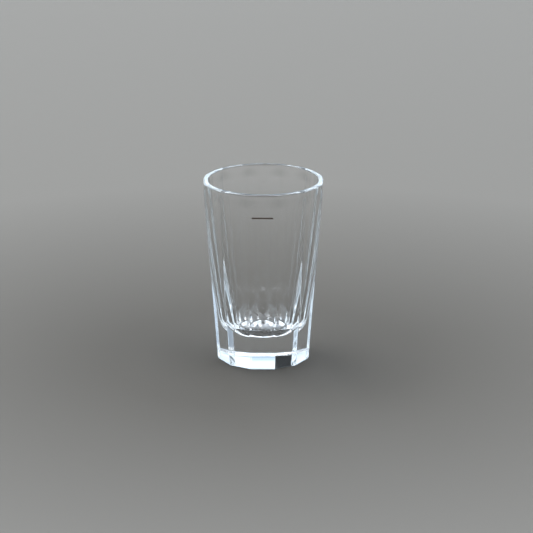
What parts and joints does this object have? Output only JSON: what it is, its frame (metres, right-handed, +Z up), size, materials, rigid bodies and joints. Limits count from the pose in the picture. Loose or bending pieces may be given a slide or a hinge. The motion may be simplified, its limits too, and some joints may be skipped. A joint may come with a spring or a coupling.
{
  "type": "shot glass",
  "caption": "Tall clear shot glass with flat panels round the outside, a round bowed cavity, a thick solid foot and a short enamel fill line.",
  "frame": {"origin": "the middle of the foot's underside, on the surface the glass stands on", "axes": "+Z up through the mouth, -Y towards the middle of the front panel, which carries the fill line"},
  "size_m": [0.0452, 0.0452, 0.07],
  "materials": {
    "clear_glass": "clear soda-lime glass, fire-polished, with a faint blue-green tint in the thick foot",
    "enamel": "dark brown vitreous enamel, printed and fired on, slightly glossy"
  },
  "bodies": {
    "root": {"glass_body": "clear_glass", "fill_line": "enamel"}
  },
  "joints": []
}
